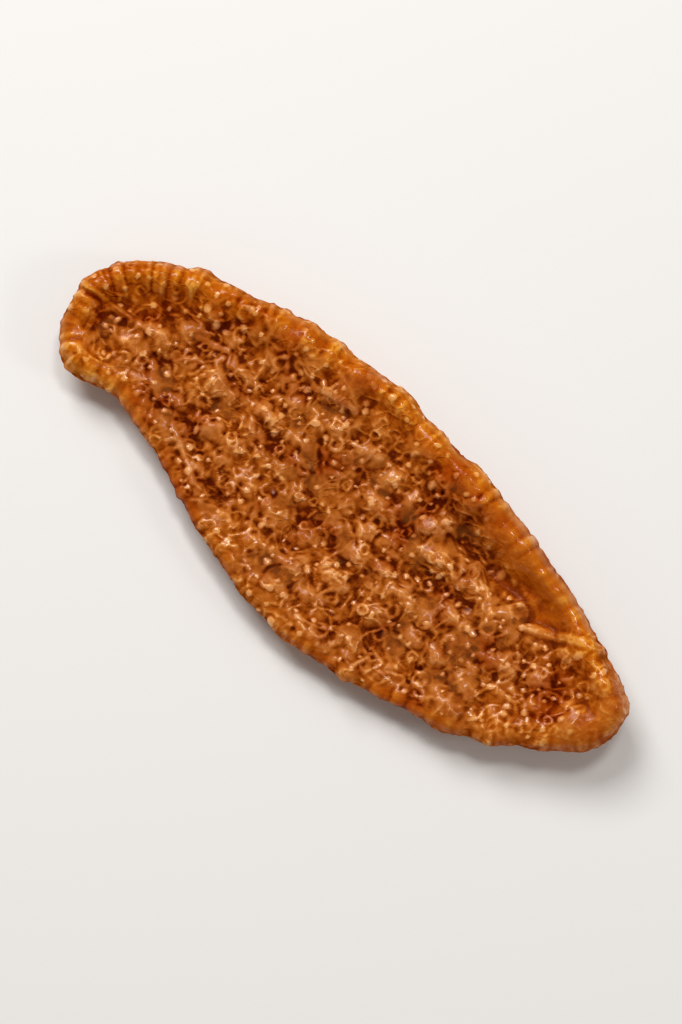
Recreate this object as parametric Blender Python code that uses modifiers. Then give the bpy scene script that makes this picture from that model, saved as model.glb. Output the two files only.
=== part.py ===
"""A dried sapodilla slice, lying with its cut face up.

A ripe sapodilla was peeled, cut lengthwise into wedges and dried. The wedge shrank and cupped. Its outer
edge, which was under the skin, stands up as a thick crimped rim. The cut face sank between the rims and drew
into small lumps and lengthwise wrinkles. The inner edge, from the core, is thin. The tips turn up, so the
slice lies on a small flat spot under its weight.

The frame, in metres: +X runs from the blunt end to the pointed tip, +Y from the inner edge to the outer edge
and +Z up. The origin is on the surface that the slice lies on, below the middle of its box.
"""

import math

import bmesh
import bpy
import numpy as np
from mathutils import Vector, noise

# Driving dimensions, in metres.
LENGTH = 0.062
WIDTH = 0.0245
FLESH = 0.0046  # thickness of the flesh where it is thickest
SPOT = (0.0085, 0.0045)  # half the length and half the width of the low belly that it lies on
BELLY = 0.0006  # how far the belly stands out
PRESS = 0.0004  # how much of the belly is pressed flat

# The plan, from the blunt end to the tip: how far along, as a share of the length, then how far the inner and
# the outer edge are from the middle line, as shares of the width.
STATIONS = (
    (0.000, -0.04, 0.15),
    (0.030, -0.17, 0.26),
    (0.085, -0.21, 0.36),
    (0.140, -0.15, 0.43),
    (0.240, -0.28, 0.47),
    (0.380, -0.445, 0.50),
    (0.540, -0.54, 0.47),
    (0.700, -0.53, 0.35),
    (0.840, -0.43, 0.24),
    (0.945, -0.28, 0.105),
    (1.000, -0.13, -0.01),
)
# Places across the slice, from the inner edge to the outer edge, and the share of the flesh at each.
COLUMNS = ((0.0, 0.45), (0.14, 0.62), (0.38, 0.85), (0.64, 0.95), (0.87, 1.0), (1.0, 0.85))

# How the slice cupped as it dried.
OUTER_LIFT = 0.0030
INNER_LIFT = 0.0013
BLUNT_LIFT = 0.0015
TIP_LIFT = 0.0028

# The rim: a thick roll along the edge, with a sunken channel just inside it.
RIM_WIDTH = 0.0028
RIM_HEIGHT = 0.0008
CHANNEL_DEPTH = 0.0004
CHANNEL_WIDTH = 0.0018
INNER_RIM_SHARE = 0.4
CRIMP_PITCH = 0.0021
CRIMP_HEIGHT = 0.00024

# The cut face and the back: lumps with creases between them, over lengthwise wrinkles.
LUMP_PITCH = 0.0025
LUMP_STRETCH = 1.35
LUMP_HEIGHT = 0.00072
LUMP_SHARE_ON_RIM = 0.3
WRINKLE_PITCH = 0.0034
WRINKLE_STRETCH = 3.6
WRINKLE_HEIGHT = 0.00045
SWELL_PITCH = 0.011
SWELL_HEIGHT = 0.0006

# The fold near the tip: a furrow between the outer rim and the lobe beside it, with its ends as (x, y).
FOLD_START = (0.0105, 0.0042)
FOLD_END = (0.0215, 0.0026)
FOLD_DEPTH = 0.0013
FOLD_WIDTH = 0.0016

# The surface: how finely the cage is rounded, and the faces that the relief is raised on and then thinned to.
SMOOTHING = 3
RELIEF_FACE = 0.00045
CREASE_SMOOTHING = 2
FACE_SMOOTHING = 0.3
TRIANGLES = 11600
SEED = 4


def clear_scene():
    for thing in list(bpy.data.objects):
        bpy.data.objects.remove(thing, do_unlink=True)


def smooth_step(low, high, value):
    share = np.clip((value - low) / (high - low), 0.0, 1.0)
    return share * share * (3.0 - 2.0 * share)


def new_object(name, mesh, collection):
    made = bpy.data.objects.new(name, mesh)
    collection.objects.link(made)
    return made


def evaluated_mesh(source):
    graph = bpy.context.evaluated_depsgraph_get()
    return bpy.data.meshes.new_from_object(source.evaluated_get(graph))


def read_vectors(items, name):
    values = np.empty(len(items) * 3)
    items.foreach_get(name, values)
    return values.reshape(-1, 3)


def cupped_height(along, across, breadth):
    """The middle surface's height: along and across run from -1 to 1, to the tip and to the outer edge."""
    ends = BLUNT_LIFT if along < 0 else TIP_LIFT
    sides = OUTER_LIFT if across > 0 else INNER_LIFT
    return ends * abs(along) ** 2.6 + breadth * sides * abs(across) ** 2.2


def middle_sheet(collection):
    """The slice's middle surface, as a coarse grid whose rows are the stations, with its share of flesh."""
    frame = bmesh.new()
    bmesh.ops.create_grid(frame, x_segments=len(STATIONS) - 1, y_segments=len(COLUMNS) - 1, size=0.5)
    mesh = bpy.data.meshes.new("middle_sheet")
    frame.to_mesh(mesh)
    frame.free()
    sheet = new_object("middle_sheet", mesh, collection)
    flesh = sheet.vertex_groups.new(name="flesh")
    for vertex in mesh.vertices:
        along, inner, outer = STATIONS[round((vertex.co.x + 0.5) * (len(STATIONS) - 1))]
        across, share = COLUMNS[round((vertex.co.y + 0.5) * (len(COLUMNS) - 1))]
        vertex.co = (
            (along - 0.5) * LENGTH,
            (inner + (outer - inner) * across) * WIDTH,
            cupped_height(2.0 * along - 1.0, 2.0 * across - 1.0, outer - inner),
        )
        flesh.add([vertex.index], share, "REPLACE")
    return sheet


def add_subdivision(thing):
    subdivision = thing.modifiers.new("round", "SUBSURF")
    subdivision.levels = SMOOTHING
    subdivision.render_levels = SMOOTHING


def edge_line(sheet):
    """The slice's edge in plan, as the ordered points of the rounded sheet's boundary."""
    add_subdivision(sheet)
    mesh = evaluated_mesh(sheet)
    sheet.modifiers.clear()
    frame = bmesh.new()
    frame.from_mesh(mesh)
    bpy.data.meshes.remove(mesh)
    edge = next(edge for edge in frame.edges if edge.is_boundary)
    first = vertex = edge.verts[0]
    points = []
    while not points or vertex is not first:
        points.append(vertex.co.xy.to_tuple())
        vertex = edge.other_vert(vertex)
        edge = next(other for other in vertex.link_edges if other.is_boundary and other is not edge)
    frame.free()
    return np.array(points)


def fleshed_body(sheet, collection):
    """The sheet with its flesh on, rounded, and remeshed to even faces."""
    flesh = sheet.modifiers.new("flesh", "SOLIDIFY")
    flesh.thickness = FLESH
    flesh.offset = 0.0
    flesh.vertex_group = "flesh"
    add_subdivision(sheet)
    even = sheet.modifiers.new("even", "REMESH")
    even.mode = "VOXEL"
    even.voxel_size = RELIEF_FACE
    body = new_object("dried_sapodilla_slice", evaluated_mesh(sheet), collection)
    bpy.data.objects.remove(sheet, do_unlink=True)
    return body


def nearest_on_edge(points, edge):
    """Each point's distance in plan from the closed edge line, its place along it, and the nearest point."""
    runs = np.roll(edge, -1, axis=0) - edge
    lengths = np.linalg.norm(runs, axis=1)
    starts = np.concatenate([[0.0], np.cumsum(lengths)[:-1]])
    offsets = points[:, None, :2] - edge
    shares = np.clip((offsets * runs).sum(axis=2) / lengths**2, 0.0, 1.0)
    gaps = np.linalg.norm(offsets - shares[:, :, None] * runs, axis=2)
    best = gaps.argmin(axis=1)
    rows = np.arange(len(points))
    share = shares[rows, best]
    nearest = edge[best] + share[:, None] * runs[best]
    return gaps[rows, best], starts[best] + share * lengths[best], nearest


def rim_share(nearest):
    """1 where the nearest edge is the outer one or the blunt end, down to the inner edge's low rim."""
    along, inner, outer = np.array(STATIONS).T
    middle = np.interp(nearest[:, 0] / LENGTH + 0.5, along, (inner + outer) / 2.0) * WIDTH
    outer_side = smooth_step(-0.003, 0.003, nearest[:, 1] - middle)
    blunt_end = 1.0 - smooth_step(0.06, 0.14, nearest[:, 0] / LENGTH + 0.5)
    return INNER_RIM_SHARE + (1.0 - INNER_RIM_SHARE) * np.maximum(outer_side, blunt_end)


def rim(inset, share):
    """The raised roll inside the edge and the channel beside it."""
    roll = np.exp(-(((inset - 0.5 * RIM_WIDTH) / (0.55 * RIM_WIDTH)) ** 2))
    channel = np.exp(-(((inset - 1.7 * RIM_WIDTH) / CHANNEL_WIDTH) ** 2))
    return (RIM_HEIGHT * roll - CHANNEL_DEPTH * channel) * share


def fold(points):
    start, end = np.array(FOLD_START), np.array(FOLD_END)
    run = end - start
    offset = points[:, :2] - start
    share = np.clip(offset @ run / (run @ run), 0.0, 1.0)
    gap = np.linalg.norm(offset - share[:, None] * run, axis=1)
    return -FOLD_DEPTH * np.exp(-((gap / FOLD_WIDTH) ** 2))


def crimps(points, inset, place, edge_length):
    """Small radial folds of the rim, which follow the edge and fade inwards."""
    radius = edge_length / CRIMP_PITCH / (2.0 * math.pi)
    turns = place / edge_length * 2.0 * math.pi
    levels = 5.3 + points[:, 2] / (3.0 * CRIMP_PITCH)
    heights = [
        noise.noise((radius * math.cos(turn), radius * math.sin(turn), level))
        for turn, level in zip(turns, levels)
    ]
    fade = 1.0 - smooth_step(0.6 * RIM_WIDTH, 1.5 * RIM_WIDTH, inset)
    return 2.0 * CRIMP_HEIGHT * np.array(heights) * fade


def lumps(points):
    """Rounded lumps with creases between them, a little longer along the slice than across it."""
    heights = []
    for point in points / LUMP_PITCH * [1.0 / LUMP_STRETCH, 1.0, 1.0]:
        here = Vector(point)
        here += 0.35 * noise.noise_vector(0.8 * here)
        near, next_near = noise.voronoi(here)[0][:2]
        heights.append(min(1.0, 1.8 * (next_near - near)) - 0.6 * near * near)
    return LUMP_HEIGHT * (np.array(heights) - np.mean(heights))


def wrinkles(points):
    """Low ridges that run along the slice."""
    places = points / WRINKLE_PITCH * [1.0 / WRINKLE_STRETCH, 1.0, 1.0] + [3.7, 1.3, 8.1]
    heights = [1.0 - 2.2 * abs(noise.noise(place)) for place in places]
    return WRINKLE_HEIGHT * (np.array(heights) - np.mean(heights))


def swells(points):
    return SWELL_HEIGHT * np.array([noise.noise(place) for place in points / SWELL_PITCH + [9.2, 4.4, 2.6]])


def away_from_spot(points, normals):
    """0 on the belly, under the slice's middle, and 1 all round it and on the cut face."""
    radius = np.linalg.norm(points[:, :2] / SPOT, axis=1)
    return np.maximum(smooth_step(0.5, 1.5, radius), smooth_step(-0.3, 0.3, normals[:, 2]))


def raise_relief(body, edge):
    """Moves the surface by the relief."""
    points = read_vectors(body.data.vertices, "co")
    normals = read_vectors(body.data.vertices, "normal")
    inset, place, nearest = nearest_on_edge(points, edge)
    edge_length = np.linalg.norm(np.roll(edge, -1, axis=0) - edge, axis=1).sum()
    on_face = smooth_step(-0.15, 0.45, normals[:, 2])
    away = away_from_spot(points, normals)
    past_rim = smooth_step(0.4 * RIM_WIDTH, 1.4 * RIM_WIDTH, inset)
    rough = LUMP_SHARE_ON_RIM + (1.0 - LUMP_SHARE_ON_RIM) * past_rim
    height = away * (rough * (lumps(points) + wrinkles(points)) + swells(points)) + BELLY * (1.0 - away)
    height += crimps(points, inset, place, edge_length)
    lift = on_face * (rim(inset, rim_share(nearest)) + fold(points))
    points += normals * height[:, None]
    points[:, 2] += lift
    body.data.vertices.foreach_set("co", points.ravel())
    body.data.update()


def thin_faces(body):
    """Keeps the faces where the relief bends and merges them where it is flat, with no face folded over."""
    body.data.calc_loop_triangles()
    opener = body.modifiers.new("opener", "SMOOTH")
    opener.iterations = CREASE_SMOOTHING
    thinner = body.modifiers.new("thinner", "DECIMATE")
    thinner.ratio = TRIANGLES / len(body.data.loop_triangles)
    thinner.use_collapse_triangulate = True
    settler = body.modifiers.new("settler", "SMOOTH")
    settler.factor = FACE_SMOOTHING
    body.data = evaluated_mesh(body)
    body.modifiers.clear()


def seat(body):
    """Presses the belly flat, and stands the slice's box on the origin at the driving size."""
    points = read_vectors(body.data.vertices, "co")
    points[:, 2] = np.maximum(points[:, 2], points[:, 2].min() + PRESS)
    low, high = points.min(axis=0), points.max(axis=0)
    points -= [*(low + high)[:2] / 2.0, low[2]]
    points *= [LENGTH / (high - low)[0], WIDTH / (high - low)[1], 1.0]
    body.data.vertices.foreach_set("co", points.ravel())
    body.data.update()


def dried_flesh():
    """Dried sapodilla flesh: a translucent golden brown, tacky with sugar."""
    material = bpy.data.materials.new("dried_flesh")
    material.use_nodes = True
    shader = material.node_tree.nodes["Principled BSDF"]
    shader.inputs["Base Color"].default_value = (0.42, 0.14, 0.022, 1.0)
    shader.inputs["Roughness"].default_value = 0.42
    shader.inputs["Metallic"].default_value = 0.0
    material.diffuse_color = (0.42, 0.14, 0.022, 1.0)
    return material


clear_scene()
noise.seed_set(SEED)
parts = bpy.data.collections.new("dried_sapodilla_slice")
bpy.context.scene.collection.children.link(parts)
sheet = middle_sheet(parts)
edge = edge_line(sheet)
slice_body = fleshed_body(sheet, parts)
raise_relief(slice_body, edge)
thin_faces(slice_body)
seat(slice_body)
slice_body.data.materials.clear()
slice_body.data.materials.append(dried_flesh())
slice_body.data.shade_smooth()
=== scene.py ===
"""A dried sapodilla slice, dressed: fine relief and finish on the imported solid's form, in a soft studio."""

import math

import bpy
import numpy as np
from mathutils import Matrix, Vector, kdtree, noise


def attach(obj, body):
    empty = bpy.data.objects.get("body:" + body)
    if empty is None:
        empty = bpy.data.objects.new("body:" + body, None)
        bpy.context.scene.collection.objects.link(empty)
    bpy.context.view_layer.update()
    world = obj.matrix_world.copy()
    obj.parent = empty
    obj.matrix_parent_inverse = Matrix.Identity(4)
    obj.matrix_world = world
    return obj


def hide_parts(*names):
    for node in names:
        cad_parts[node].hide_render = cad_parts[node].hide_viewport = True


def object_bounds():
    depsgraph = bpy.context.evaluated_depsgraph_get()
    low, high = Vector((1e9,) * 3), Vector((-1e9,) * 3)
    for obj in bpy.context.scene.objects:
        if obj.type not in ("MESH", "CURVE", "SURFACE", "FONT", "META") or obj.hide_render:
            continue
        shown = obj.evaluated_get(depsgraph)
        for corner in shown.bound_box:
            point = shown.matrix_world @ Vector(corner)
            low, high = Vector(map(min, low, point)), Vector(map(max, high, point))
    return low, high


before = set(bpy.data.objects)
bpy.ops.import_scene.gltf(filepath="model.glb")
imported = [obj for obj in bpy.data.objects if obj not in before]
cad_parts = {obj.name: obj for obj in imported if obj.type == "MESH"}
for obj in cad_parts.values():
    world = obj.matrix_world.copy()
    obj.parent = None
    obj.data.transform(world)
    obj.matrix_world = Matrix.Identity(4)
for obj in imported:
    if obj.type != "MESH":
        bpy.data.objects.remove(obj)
cad_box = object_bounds()

# The flesh's form: one wedge of ripe sapodilla, peeled, cut lengthwise and dried in the sun until it shrank
# and cupped. The piece starts as a merged copy of the solid, is remeshed evenly, loses the solid's flat
# facets and is made twice as fine on its face and sides.
FLESH_NODE = "dried_sapodilla_slice"
MERGE_GAP = 1e-6
FACE_SIZE = 0.00032
FACET_ROUNDS = 4
FINE_NORMAL = -0.35

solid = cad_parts[FLESH_NODE]
flesh = bpy.data.objects.new("dried_flesh_slice", solid.data.copy())
bpy.context.scene.collection.objects.link(flesh)
bpy.ops.object.select_all(action="DESELECT")
flesh.select_set(True)
bpy.context.view_layer.objects.active = flesh
bpy.ops.object.mode_set(mode="EDIT")
bpy.ops.mesh.select_all(action="SELECT")
bpy.ops.mesh.remove_doubles(threshold=MERGE_GAP)
bpy.ops.object.mode_set(mode="OBJECT")
even = flesh.modifiers.new("even", "REMESH")
even.mode = "VOXEL"
even.voxel_size = FACE_SIZE
bpy.ops.object.modifier_apply(modifier="even")


def read_vectors(items, name):
    values = np.empty(len(items) * 3)
    items.foreach_get(name, values)
    return values.reshape(-1, 3)


def write_points(mesh, points):
    mesh.vertices.foreach_set("co", points.ravel())
    mesh.update()


def edge_ends(mesh):
    ends = np.empty(len(mesh.edges) * 2, np.int32)
    mesh.edges.foreach_get("vertices", ends)
    return ends.reshape(-1, 2)


def averaged(values, ends, rounds):
    """The values after so many rounds of moving each half way to the mean of its neighbours."""
    count = len(values)
    neighbours = np.bincount(ends.ravel(), minlength=count)
    first, second = ends.T
    for _ in range(rounds):
        sums = [
            np.bincount(first, column[second], count) + np.bincount(second, column[first], count)
            for column in values.T
        ]
        values = 0.5 * values + 0.5 * (np.array(sums) / neighbours).T
    return values


mesh = flesh.data
write_points(mesh, averaged(read_vectors(mesh.vertices, "co"), edge_ends(mesh), FACET_ROUNDS))
mesh.polygons.foreach_set("select", [polygon.normal.z > FINE_NORMAL for polygon in mesh.polygons])
bpy.ops.object.mode_set(mode="EDIT")
bpy.ops.mesh.select_mode(type="FACE")
bpy.ops.mesh.subdivide(number_cuts=1, smoothness=0.0)
bpy.ops.object.mode_set(mode="OBJECT")
ends = edge_ends(mesh)

# The slice's edge: the belt where the rounded form turns from the face to the back. Its outer side and its
# blunt end lay next to the fruit's skin, and its inner side is the cut along the core. Each point knows the
# stretch of edge nearest to it and how far in it lies, and the edge itself is rounded off.
FORM_ROUNDS = 60
BELT_NORMAL = 0.12
NEAREST_COUNT = 10
MIDDLE_STEPS = 40
SIDE_TURN = 0.003
BLUNT_END = (-0.027, -0.017)
ROUNDED_BAND = (0.0028, 0.0006)
ROUNDING = 0.7


def smooth_step(low, high, value):
    share = np.clip((value - low) / (high - low), 0.0, 1.0)
    return share * share * (3.0 - 2.0 * share)


points = read_vectors(mesh.vertices, "co")
form = averaged(points, ends, FORM_ROUNDS)
write_points(mesh, form)
form_normals = read_vectors(mesh.vertices, "normal")
belt = form[np.abs(form_normals[:, 2]) < BELT_NORMAL]
tree = kdtree.KDTree(len(belt))
for number, place in enumerate(belt):
    tree.insert((place[0], place[1], 0.0), number)
tree.balance()
found = [tree.find_n((x, y, 0.0), NEAREST_COUNT) for x, y in form[:, :2].tolist()]
edge_place = np.array([np.mean([belt[hit[1]] for hit in hits], axis=0) for hits in found])
inset = np.array([hits[0][2] for hits in found])
steps = np.linspace(belt[:, 0].min(), belt[:, 0].max(), MIDDLE_STEPS + 1)
middles = [
    np.mean([column.min(), column.max()])
    for start, end in zip(steps[:-1], steps[1:])
    if len(column := belt[(belt[:, 0] >= start) & (belt[:, 0] <= end), 1])
]
middle = np.interp(edge_place[:, 0], (steps[:-1] + steps[1:]) / 2.0, middles)
outer = smooth_step(-SIDE_TURN, SIDE_TURN, edge_place[:, 1] - middle)
blunt = 1.0 - smooth_step(*BLUNT_END, edge_place[:, 0])
skin_side = np.maximum(outer, blunt)
points = points + (form - points) * (ROUNDING * smooth_step(*ROUNDED_BAND, inset))[:, None]
write_points(mesh, points)
normals = read_vectors(mesh.vertices, "normal")

# The dried relief. The cut face shrank to clumps and fine crumb, with curled fibres, flat skinned-over
# plates, small rings of cut vessels and beads of dried sugar. The rim, which was next to the skin, dried
# harder and drew into crimps. Sizes are in metres, and a noise's offset only keeps it apart from the others.
SEED = 5
INNER_RIM = 0.0010
OUTER_RIM = 0.0024
BLUNT_RIM = 0.0036
WANDER_PITCH = 0.0025
WANDER_DEPTH = 0.0007
WARP_PITCH = 0.0030
CURLED = 0.3
BENT = 0.12
SLEEK_PITCH = 0.004
SLEEK_BAND = ((0.0126, 0.0076), (0.0204, 0.0041), 0.0036)
SLEEK_TIP = (0.0265, 0.0290)
FOLD = ((0.0190, 0.0013), (0.0258, 0.0034), 0.0007)
GROOVE = ((0.0140, 0.0034), (0.0185, 0.0020), 0.0013)
LONG_FIBRES = (
    ((-0.0166, -0.0026), (-0.0120, -0.0056), 0.00045),
    ((-0.0195, 0.0048), (-0.0168, 0.0056), 0.00045),
    ((-0.0168, 0.0044), (-0.0138, 0.0021), 0.00050),
    ((-0.0074, 0.0076), (-0.0040, 0.0078), 0.00045),
    ((-0.0214, 0.0006), (-0.0191, -0.0012), 0.00060),
)
PLATE_PITCH = 0.0024
PLATED_SHARE = 0.25
CELL_SPREAD = 9.0
CLUMP_PITCH = 0.0021
CLUMP_STRETCH = 1.2
CREASE_WIDTH = 0.6
CREASE_CURVE = 2.5
CLUMP_DOME = 0.4
CRUMB_PITCH = 0.00070
CURL_PATCH_PITCH = 0.0011
LONG_CURL_PITCH = 0.0020
LONG_CURL_WIDTH = 0.15
SMALL_CURL_PITCH = 0.0010
SMALL_CURL_WIDTH = 0.26
LOBE_PITCH = 0.0016
CRIMP_PITCH = 0.0006
NEAR_EDGE = (0.0060, 0.0030)
SPOT_ROWS = 64
SPOT_WARP_PITCH = 0.0011
SPOT_WARP = 0.22
BEAD_PITCH = 0.0014
BEAD_RADII = (0.00020, 0.00044)
BEAD_PATCH_PITCH = 0.0016
RING_PITCH = 0.0027
RING_RADII = (0.00035, 0.00065)
RING_PATCH_PITCH = 0.0009
CLUMP_HEIGHT = 0.00006
CRUMB_HEIGHT = 0.00007
LONG_CURL_HEIGHT = 0.00008
SMALL_CURL_HEIGHT = 0.00006
RING_HEIGHT = 0.00009
LONG_FIBRE_HEIGHT = 0.00014
FOLD_HEIGHT = 0.00025
GROOVE_DEPTH = 0.0003
PLATE_HEIGHT = 0.00008
LOBE_HEIGHT = 0.00032
CRIMP_HEIGHT = 0.00015
BEAD_HEIGHT = 0.00009


def sampled(places, function):
    return np.array([function(place) for place in places.tolist()])


def patches(places, pitch, offset, low, high):
    """Soft patches where a noise runs high: 0 where it is under low and 1 where it is over high."""
    return smooth_step(low, high, sampled(places / pitch + offset, noise.noise))


def warped(places, pitch, share):
    """The places, moved about by up to a share of the pitch."""
    return places + share * pitch * sampled(places / pitch, noise.noise_vector)


def grains(places, pitch, stretch):
    """Rounded grains with creases between them, from 0 in the creases to about 1."""
    scaled = places / (pitch * np.array([stretch, 1.0, 1.0]))
    distances = sampled(scaled, lambda place: noise.voronoi(place)[0][:2])
    gap = np.clip((distances[:, 1] - distances[:, 0]) / CREASE_WIDTH, 0.0, 1.0)
    return 1.0 - (1.0 - gap) ** CREASE_CURVE - CLUMP_DOME * distances[:, 0] ** 2


def curls(places, pitch, width, offset):
    """Thin curled ridges, from 0 to 1, where a noise crosses zero."""
    line = 1.0 - np.abs(sampled(places / pitch + offset, noise.noise)) / width
    return smooth_step(0.0, 1.0, line)


def plates(places, pitch, share):
    """Flat plates of skinned-over flesh, over that share of the cells: 1 on a plate and 0 elsewhere. The
    draw that picks a cell runs from -1 to 1."""

    def inside(place):
        distances, centres = noise.voronoi(place)
        chosen = noise.cell(centres[0] * CELL_SPREAD) < 2.0 * share - 1.0
        return distances[1] - distances[0] if chosen else 0.0

    return smooth_step(0.02, 0.2, sampled(places / pitch, inside))


def along(places, start, end, reach):
    """How near the places lie, in plan, to the line from start to end: 1 on it and 0 from the reach on."""
    start, line = np.array(start), np.array(end) - np.array(start)
    share = np.clip((places[:, :2] - start) @ line / (line @ line), 0.0, 1.0)
    gap = np.linalg.norm(places[:, :2] - start - share[:, None] * line, axis=1)
    return 1.0 - smooth_step(0.2 * reach, reach, gap)


def spotted(places, pitch, radii, number):
    """How far the places lie, in plan, from the nearest of some scattered spots, in shares of that spot's
    radius. Each square of that pitch holds one spot."""
    draw = np.random.default_rng(SEED + number)
    spots = draw.uniform(0.1, 0.9, (SPOT_ROWS, SPOT_ROWS, 2))
    sizes = radii[0] + (radii[1] - radii[0]) * draw.uniform(0.0, 1.0, (SPOT_ROWS, SPOT_ROWS)) ** 2
    squares = np.floor(places[:, :2] / pitch).astype(int)
    nearest = np.full(len(places), np.inf)
    for step in np.ndindex(3, 3):
        column, row = (squares + step - 1).T
        centres = (np.stack([column, row], axis=1) + spots[column, row]) * pitch
        gap = np.linalg.norm(places[:, :2] - centres, axis=1)
        nearest = np.minimum(nearest, gap / sizes[column, row])
    return nearest


noise.seed_set(SEED)
top = smooth_step(-0.3, 0.3, form_normals[:, 2])
upper = smooth_step(0.1, 0.5, form_normals[:, 2])

# The rim's width wanders. It is sleek, dried to a smooth amber skin, in some stretches, at the tip, and in a
# pocket beside the outer edge.
rim_width = INNER_RIM + (OUTER_RIM - INNER_RIM) * outer + (BLUNT_RIM - OUTER_RIM) * blunt
rim_depth = (inset + WANDER_DEPTH * sampled(points / WANDER_PITCH + 6.1, noise.noise)) / rim_width
rim = (1.0 - smooth_step(0.4, 1.35, rim_depth)) * (0.3 + 0.7 * top)
curled = warped(points, WARP_PITCH, CURLED)
bent = warped(points, WARP_PITCH, BENT)
sleek = rim * patches(edge_place, SLEEK_PITCH, 1.9, 0.0, 0.3)
sleek = np.maximum(sleek, along(bent, *SLEEK_BAND) * top)
sleek = np.maximum(sleek, 0.7 * smooth_step(*SLEEK_TIP, points[:, 0])) * (0.2 + 0.8 * upper)
lobes = np.abs(sampled(edge_place / LOBE_PITCH, noise.noise))
radial = sampled(edge_place / CRIMP_PITCH + 4.4, noise.noise)
crimps = (LOBE_HEIGHT * lobes + CRIMP_HEIGHT * radial * (0.4 + 0.6 * blunt)) * (0.8 + 0.2 * upper)

# The face's clumps, crumb, plates and fibres. Long curls and small ones take turns.
long_fibres = np.max([along(bent, *fibre) for fibre in LONG_FIBRES], axis=0) * top
plate = plates(curled + 0.3, PLATE_PITCH, PLATED_SHARE)
clump = grains(curled, CLUMP_PITCH, CLUMP_STRETCH)
crumb = sampled(points / CRUMB_PITCH + 7.3, noise.noise)
curl_patches = patches(points, CURL_PATCH_PITCH, 17.0, -0.15, 0.3)
long_curls = curls(curled, LONG_CURL_PITCH, LONG_CURL_WIDTH, 3.1) * curl_patches
small_curls = curls(points, SMALL_CURL_PITCH, SMALL_CURL_WIDTH, 8.7) * (1.0 - 0.7 * curl_patches)

# Beads of sugar are low domes, a little larger near the rim, and rings are raised circles. Both come in
# patches.
spot_places = warped(points, SPOT_WARP_PITCH, SPOT_WARP)
near_rim = smooth_step(*NEAR_EDGE, inset) * skin_side
bead_depth = spotted(spot_places, BEAD_PITCH, BEAD_RADII, 1) / (0.85 + 0.25 * near_rim)
beads = np.sqrt(np.clip(1.0 - bead_depth**2, 0.0, 1.0)) * upper * (1.0 - 0.8 * sleek)
beads = beads * patches(points, BEAD_PATCH_PITCH, 12.0, -0.45, 0.15)
ring_depth = np.abs(spotted(spot_places, RING_PITCH, RING_RADII, 2) - 1.0)
rings = smooth_step(0.5, 0.1, ring_depth) * upper * (1.0 - sleek)
rings = rings * patches(points, RING_PATCH_PITCH, 21.0, -0.25, 0.15)

# All of it together moves the surface in and out, and the piece is then set in the solid's own box.
rough = CLUMP_HEIGHT * clump + CRUMB_HEIGHT * crumb + LONG_CURL_HEIGHT * long_curls
rough = rough + SMALL_CURL_HEIGHT * small_curls + RING_HEIGHT * rings
rough = rough * (1.0 - 0.75 * np.maximum(sleek, long_fibres)) + LONG_FIBRE_HEIGHT * long_fibres
rough = rough + FOLD_HEIGHT * along(points, *FOLD) * top - GROOVE_DEPTH * along(bent, *GROOVE) * top
face_relief = rough + (PLATE_HEIGHT - rough) * 0.5 * plate
rim_relief = crimps + (1.4 - 0.9 * upper) * rough
height = (1.0 - rim) * face_relief + rim * rim_relief + BEAD_HEIGHT * beads
raised = points + normals * (height - np.mean(height))[:, None]
raised[:, 2] = np.maximum(raised[:, 2], 0.0)
low, high = raised.min(axis=0), raised.max(axis=0)
box_low, box_high = np.array(cad_box[0]), np.array(cad_box[1])
raised = box_low + (raised - low) * (box_high - box_low) / (high - low)
write_points(mesh, raised)

# What the finish follows, kept as attributes of the mesh. The tone runs from 0 in the deepest crease to 1 on
# the highest crest, so it paints shade into the creases and a highlight onto the crests. The rim and the tip
# are golden where they lay next to the skin, and the wall, which is the side below the edge, is calmer and a
# little darker.
GOLDEN_TIP = (0.0170, 0.0270)
FORM_MARGIN = (0.0030, 0.0010)
EDGE_HIGHLIGHT_BAND = (0.0012, 0.0)


def ranked(values):
    """Each value's place among all of them, from 0 for the lowest to 1 for the highest."""
    order = np.empty(len(values))
    order[np.argsort(values)] = np.linspace(0.0, 1.0, len(values))
    return order


def store(name, values):
    attribute = mesh.attributes.new(name, "FLOAT", "POINT")
    attribute.data.foreach_set("value", values.astype(np.float32))


normals = read_vectors(mesh.vertices, "normal")
margin = smooth_step(*FORM_MARGIN, inset)
over_form = ((raised - form) * form_normals).sum(axis=1)[:, None]


def standing(rounds):
    """How far each point stands out of what lies that many points round it, in shares of the usual. Near the
    edge the roundness of the form itself doesn't count."""
    whole = ((raised - averaged(raised, ends, rounds)) * normals).sum(axis=1)
    fine = (over_form - averaged(over_form, ends, rounds))[:, 0]
    out = whole + (fine - whole) * margin
    return out / np.std(out)


coarse = smooth_step(FINE_NORMAL, FINE_NORMAL - 0.2, form_normals[:, 2])
fine_crests = standing(10) + 0.6 * standing(70)
coarse_crests = standing(3) + 0.6 * standing(18)
crests = ranked((1.0 - coarse) * fine_crests + coarse * coarse_crests)
wall = (1.0 - upper) * (1.0 - coarse)
golden = smooth_step(*GOLDEN_TIP, points[:, 0]) * upper
spread = 1.0 - 0.25 * coarse - 0.45 * wall
store("tone_and_painted_light", 0.5 + (crests - 0.5) * spread - 0.15 * wall - 0.08 * (1.0 - margin) + 0.1 * golden)
warm = (1.0 - smooth_step(0.4, 2.0, rim_depth)) * (0.3 + 0.7 * top)
warm = warm * (0.4 + 0.6 * skin_side) * (1.0 - 0.6 * wall)
amber = np.maximum(sleek * upper, warm)
store("rim", np.maximum(amber, 0.6 * golden * smooth_step(*NEAR_EDGE, inset)))
# The edge mask carries a painted highlight along the thin outer edge.
store("edge", smooth_step(*EDGE_HIGHLIGHT_BAND, inset) * skin_side * smooth_step(0.15, 0.65, form_normals[:, 2]))
store("sleek", sleek)
store("plate", plate * (1.0 - rim))
store("bead", beads)
store("upper", smooth_step(-0.2, 0.5, form_normals[:, 2]))
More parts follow.
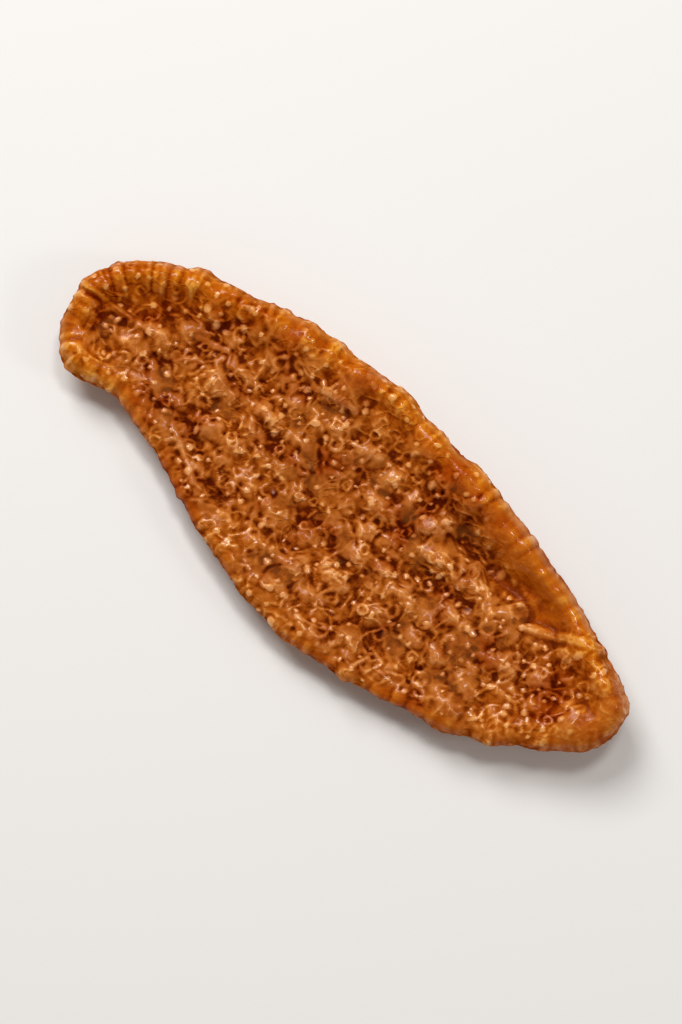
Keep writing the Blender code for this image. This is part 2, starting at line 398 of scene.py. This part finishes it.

# Dried sapodilla flesh: a golden brown, translucent at thin edges, sticky with its own sugar, which gives it
# a soft gloss with sharp glints on every grain. The creases are painted darker and redder, as painted shade,
# and the crests lighter, as painted highlight. A name that ends in MM is a size in millimetres.
SWIRL_MM = 1.9
SWIRL_REACH = 0.0010
FIBRE_MM = 1.0
FIBRE_PATCH_MM = 2.1
PIT_MM = 1.7
PIT_LEAST = 0.6
MOTTLE_MM = 4.5
FLECK_MM = 0.6
GRAIN_MM = 0.28
GRAIN_DEPTH = 0.00008
FACE_STOPS = (
    (0.00, "#3C0E02"),
    (0.20, "#5C1D04"),
    (0.30, "#84390A"),
    (0.44, "#A05014"),
    (0.59, "#B26020"),
    (0.75, "#C27030"),
    (0.87, "#D48644"),
    (0.93, "#EAA466"),
)
RIM_STOPS = (
    (0.10, "#701F02"),
    (0.25, "#8C3603"),
    (0.37, "#A84C06"),
    (0.57, "#BE5E0A"),
    (0.75, "#CA6C0C"),
    (0.87, "#DA8218"),
    (0.94, "#E89A34"),
)
MOTTLE_STOPS = ((0.35, "#DCAE88"), (0.50, "#FFFFFF"), (0.66, "#FFF2C0"))

material = bpy.data.materials.new("sun_dried_sapodilla_flesh")
material.use_nodes = True
shader = material.node_tree.nodes["Principled BSDF"]


def linear(code):
    """An sRGB hex colour as linear red, green, blue and alpha."""
    shares = [int(code[start : start + 2], 16) / 255.0 for start in (1, 3, 5)]
    return (*[s / 12.92 if s <= 0.04045 else ((s + 0.055) / 1.055) ** 2.4 for s in shares], 1.0)


def add_node(kind, inputs, stops=(), **settings):
    """Adds a node with its settings, sets or links its inputs, and gives a colour ramp its stops."""
    node = material.node_tree.nodes.new(kind)
    for name, value in settings.items():
        setattr(node, name, value)
    for key, value in inputs.items():
        if isinstance(value, bpy.types.NodeSocket):
            material.node_tree.links.new(value, node.inputs[key])
        else:
            node.inputs[key].default_value = value
    for number, (place, code) in enumerate(stops):
        ramp = node.color_ramp.elements
        element = ramp[number] if number < len(ramp) else ramp.new(place)
        element.position = place
        element.color = linear(code)
    return node


def scale_of(millimetres):
    """A noise's scale for features of that size, on coordinates in metres."""
    return 1000.0 / millimetres


# A Map Range's sockets 1 and 2 are the span it reads, and 3 and 4 the span it gives. A Mix's socket 0 is the
# share of its second colour, and 6 and 7 are the colours.
place = add_node("ShaderNodeTexCoord", {}).outputs["Object"]
tone_and_painted_light, rim_share, edge_highlight_share, plate_share, bead, upper_share, sleek_share = [
    add_node("ShaderNodeAttribute", {}, attribute_name=name).outputs["Fac"]
    for name in ("tone_and_painted_light", "rim", "edge", "plate", "bead", "upper", "sleek")
]

# Fine curled fibres, 0.3 mm wide, where a swirled noise crosses its middle, broken up by a second noise.
swirl = add_node("ShaderNodeTexNoise", {"Vector": place, "Scale": scale_of(SWIRL_MM), "Detail": 1.0})
swirl = add_node(
    "ShaderNodeVectorMath", {0: swirl.outputs["Color"], 1: (0.5, 0.5, 0.5)}, operation="SUBTRACT"
).outputs[0]
swirl = add_node("ShaderNodeVectorMath", {0: swirl, "Scale": SWIRL_REACH}, operation="SCALE").outputs[0]
swirled = add_node("ShaderNodeVectorMath", {0: place, 1: swirl}, operation="ADD").outputs[0]
fibre = add_node(
    "ShaderNodeTexNoise", {"Vector": swirled, "Scale": scale_of(FIBRE_MM), "Detail": 0.0}
).outputs["Fac"]
fibre = add_node("ShaderNodeMath", {0: fibre, 1: 0.5}, operation="SUBTRACT").outputs[0]
fibre = add_node("ShaderNodeMath", {0: fibre}, operation="ABSOLUTE").outputs[0]
fibre = add_node(
    "ShaderNodeMapRange", {"Value": fibre, 1: 0.0, 2: 0.09, 3: 1.0, 4: 0.0}, interpolation_type="SMOOTHSTEP"
).outputs[0]
broken = add_node(
    "ShaderNodeTexNoise", {"Vector": place, "Scale": scale_of(FIBRE_PATCH_MM), "Detail": 0.0}
).outputs["Fac"]
broken = add_node("ShaderNodeMapRange", {"Value": broken, 1: 0.46, 2: 0.56}).outputs[0]
fibre = add_node("ShaderNodeMath", {0: fibre, 1: broken}, operation="MULTIPLY").outputs[0]
plain = add_node("ShaderNodeMath", {0: 1.0, 1: sleek_share}, operation="SUBTRACT").outputs[0]
fibre = add_node("ShaderNodeMath", {0: fibre, 1: plain}, operation="MULTIPLY").outputs[0]

# Small pits where the flesh shrank apart, 0.5 mm across, with few on the rim. The bump sinks them and they
# are also painted dark, as painted shade.
hollow = add_node("ShaderNodeTexVoronoi", {"Vector": swirled, "Scale": scale_of(PIT_MM)}).outputs
pit = add_node(
    "ShaderNodeMapRange",
    {"Value": hollow["Distance"], 1: 0.05, 2: 0.24, 3: 1.0, 4: 0.0},
    interpolation_type="SMOOTHSTEP",
).outputs[0]
picked = add_node("ShaderNodeMath", {0: hollow["Color"], 1: PIT_LEAST}, operation="GREATER_THAN").outputs[0]
pit = add_node("ShaderNodeMath", {0: pit, 1: picked}, operation="MULTIPLY").outputs[0]
inner = add_node("ShaderNodeMapRange", {"Value": rim_share, 1: 0.1, 2: 0.7, 3: 1.0, 4: 0.25}).outputs[0]
pit = add_node("ShaderNodeMath", {0: pit, 1: inner}, operation="MULTIPLY").outputs[0]

# The tone at each place: the relief's painted shade and highlight, with broad mottling and fine flecks, a
# painted highlight on fibres, beads and the edge, and painted shade in the pits.
mottle, fleck = [
    add_node(
        "ShaderNodeTexNoise", {"Vector": place, "Scale": scale_of(size), "Detail": 3.0, "Roughness": 0.6}
    ).outputs["Fac"]
    for size in (MOTTLE_MM, FLECK_MM)
]
for pattern, reach in ((fleck, 0.12), (mottle, 0.16)):
    change = add_node("ShaderNodeMapRange", {"Value": pattern, 1: 0.3, 2: 0.7, 3: -reach, 4: reach})
    tone_and_painted_light = add_node("ShaderNodeMath", {0: tone_and_painted_light, 1: change.outputs[0]}, operation="ADD").outputs[0]
# Painted highlight on the fibres, the beads and the thin edge, and painted shade in the pits.
for share, lift in ((fibre, 0.18), (bead, 0.25), (pit, -0.5), (edge_highlight_share, 0.24)):
    tone_and_painted_light = add_node("ShaderNodeMath", {0: share, 1: lift, 2: tone_and_painted_light}, operation="MULTIPLY_ADD").outputs[0]
shade = add_node("ShaderNodeMapRange", {"Value": tone_and_painted_light, 1: -0.3, 2: 1.1}).outputs[0]

# The colour: brown flesh on the face and golden flesh at the rim, then the tints of plates and of sleek amber
# skin, a painted glint on the beads and a painted highlight along the thin edge.
face_colour, rim_colour = [
    add_node("ShaderNodeValToRGB", {"Fac": shade}, stops=stops).outputs["Color"]
    for stops in (FACE_STOPS, RIM_STOPS)
]
colour = add_node(
    "ShaderNodeMix", {0: rim_share, 6: face_colour, 7: rim_colour}, data_type="RGBA"
).outputs[2]
tint = add_node("ShaderNodeValToRGB", {"Fac": mottle}, stops=MOTTLE_STOPS).outputs["Color"]
colour = add_node(
    "ShaderNodeMix", {0: 0.8, 6: colour, 7: tint}, data_type="RGBA", blend_type="MULTIPLY"
).outputs[2]
# The beads' pale peach tint is a painted glint.
painted_bead_glint = add_node("ShaderNodeMath", {0: bead, 1: bead}, operation="MULTIPLY").outputs[0]
for share, strength, code in (
    (plate_share, 0.2, "#B9702F"),
    (painted_bead_glint, 0.5, "#F2AA66"),
    (sleek_share, 0.28, "#AC4C02"),
    (edge_highlight_share, 0.4, "#E89C3A"),
):
    share = add_node("ShaderNodeMath", {0: share, 1: strength}, operation="MULTIPLY").outputs[0]
    colour = add_node("ShaderNodeMix", {0: share, 6: colour, 7: linear(code)}, data_type="RGBA").outputs[2]

# The fine grain, too small to model, and the gloss, from a film of syrup that is thickest on crests, beads
# and sleek skin.
grain = add_node(
    "ShaderNodeTexNoise", {"Vector": place, "Scale": scale_of(GRAIN_MM), "Detail": 2.0, "Roughness": 0.5}
).outputs["Fac"]
relief = add_node("ShaderNodeMath", {0: grain, 1: 1.0, 2: fibre}, operation="MULTIPLY_ADD").outputs[0]
relief = add_node("ShaderNodeMath", {0: pit, 1: -1.8, 2: relief}, operation="MULTIPLY_ADD").outputs[0]
bump = add_node("ShaderNodeBump", {"Strength": 0.8, "Distance": GRAIN_DEPTH, "Height": relief})
gloss = add_node("ShaderNodeMapRange", {"Value": fleck, 1: 0.35, 2: 0.65, 3: 0.34, 4: 0.55}).outputs[0]
gloss = add_node("ShaderNodeMath", {0: sleek_share, 1: -0.1, 2: gloss}, operation="MULTIPLY_ADD").outputs[0]
syrup = add_node("ShaderNodeMapRange", {"Value": tone_and_painted_light, 1: 0.45, 2: 1.2, 3: 0.0, 4: 0.8}).outputs[0]
syrup = add_node("ShaderNodeMath", {0: sleek_share, 1: 0.18, 2: syrup}, operation="MULTIPLY_ADD").outputs[0]
syrup = add_node("ShaderNodeMath", {0: bead, 1: 0.4, 2: syrup}, operation="MULTIPLY_ADD").outputs[0]
facing = add_node("ShaderNodeMapRange", {"Value": upper_share, 1: 0.0, 2: 1.0, 3: 0.3, 4: 1.0}).outputs[0]
syrup = add_node("ShaderNodeMath", {0: syrup, 1: facing}, operation="MULTIPLY").outputs[0]
links = material.node_tree.links
links.new(syrup, shader.inputs["Coat Weight"])
links.new(colour, shader.inputs["Base Color"])
links.new(gloss, shader.inputs["Roughness"])
links.new(bump.outputs["Normal"], shader.inputs["Normal"])
shader.inputs["IOR"].default_value = 1.47
shader.inputs["Specular IOR Level"].default_value = 0.0
shader.inputs["Subsurface Weight"].default_value = 0.12
shader.inputs["Subsurface Radius"].default_value = (1.0, 0.4, 0.12)
shader.inputs["Subsurface Scale"].default_value = 0.0007
shader.inputs["Coat Roughness"].default_value = 0.13

mesh.materials.clear()
mesh.materials.append(material)
mesh.shade_smooth()
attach(flesh, "root")
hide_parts(FLESH_NODE)

# The table and the room: a matt white board that carries the slice, under a pale ceiling and walls that fill
# the shadows.
TABLE_SIZE = 1.6
TABLE_DROP = 0.0001
ROOM_STRENGTH = 0.26

bpy.ops.mesh.primitive_plane_add(size=TABLE_SIZE, location=(0.0, 0.0, -TABLE_DROP))
table = bpy.context.active_object
table.name = "table"
table_white = bpy.data.materials.new("matt_white_table")
table_white.use_nodes = True
table_shader = table_white.node_tree.nodes["Principled BSDF"]
table_shader.inputs["Base Color"].default_value = linear("#F1EFEC")
table_shader.inputs["Roughness"].default_value = 0.9
table.data.materials.append(table_white)

world = bpy.data.worlds.new("pale_room")
world.use_nodes = True
world.node_tree.nodes["Background"].inputs["Color"].default_value = linear("#F8F4EE")
world.node_tree.nodes["Background"].inputs["Strength"].default_value = ROOM_STRENGTH
bpy.context.scene.world = world

# The camera looks down on the slice's face, a little from its inner edge's side, and turned so that the slice
# runs from the top left, where its blunt end is, to the bottom right.
TURN = math.radians(36.5)
TILT = math.radians(9.0)
VIEW_WIDTH = 0.0605
LENS = 90.0
SENSOR = 36.0
CLIP_START = 0.01
TARGET_HEIGHT = 0.003
IMAGE_SIZE = (682, 1024)

right = Vector((math.cos(TURN), math.sin(TURN), 0.0))
ahead = Vector((-math.sin(TURN), math.cos(TURN), 0.0))
back = Vector((0.0, 0.0, math.cos(TILT))) - ahead * math.sin(TILT)
upward = ahead * math.cos(TILT) + Vector((0.0, 0.0, math.sin(TILT)))
view_height = VIEW_WIDTH * IMAGE_SIZE[1] / IMAGE_SIZE[0]
camera = bpy.data.objects.new("camera", bpy.data.cameras.new("camera"))
bpy.context.scene.collection.objects.link(camera)
camera.data.lens = LENS
camera.data.sensor_width = SENSOR
camera.data.clip_start = CLIP_START
target = Vector((0.0, 0.0, TARGET_HEIGHT))
turn = Matrix((right, upward, back)).transposed().to_4x4()
camera.matrix_world = Matrix.Translation(target + back * view_height * LENS / SENSOR) @ turn
bpy.context.scene.camera = camera

# The lights: one broad soft light from the top left gives the shading, and two small ones, from above and
# from the right, are what the glints mirror.


def add_light(name, offset, size, power):
    """An area light that faces the slice, offset from it to the view's right, to its top and upwards."""
    light = bpy.data.objects.new(name, bpy.data.lights.new(name, "AREA"))
    bpy.context.scene.collection.objects.link(light)
    light.data.size = size
    light.data.energy = power
    light.location = target + right * offset[0] + ahead * offset[1] + Vector((0.0, 0.0, offset[2]))
    light.rotation_euler = (target - light.location).to_track_quat("-Z", "Y").to_euler()


add_light("broad_light", offset=(-0.12, 0.24, 0.36), size=0.20, power=1.3)
add_light("glint_light", offset=(0.06, 0.10, 0.40), size=0.07, power=0.38)
add_light("side_light", offset=(0.30, -0.10, 0.28), size=0.08, power=0.15)
bpy.context.scene.view_settings.view_transform = "Standard"
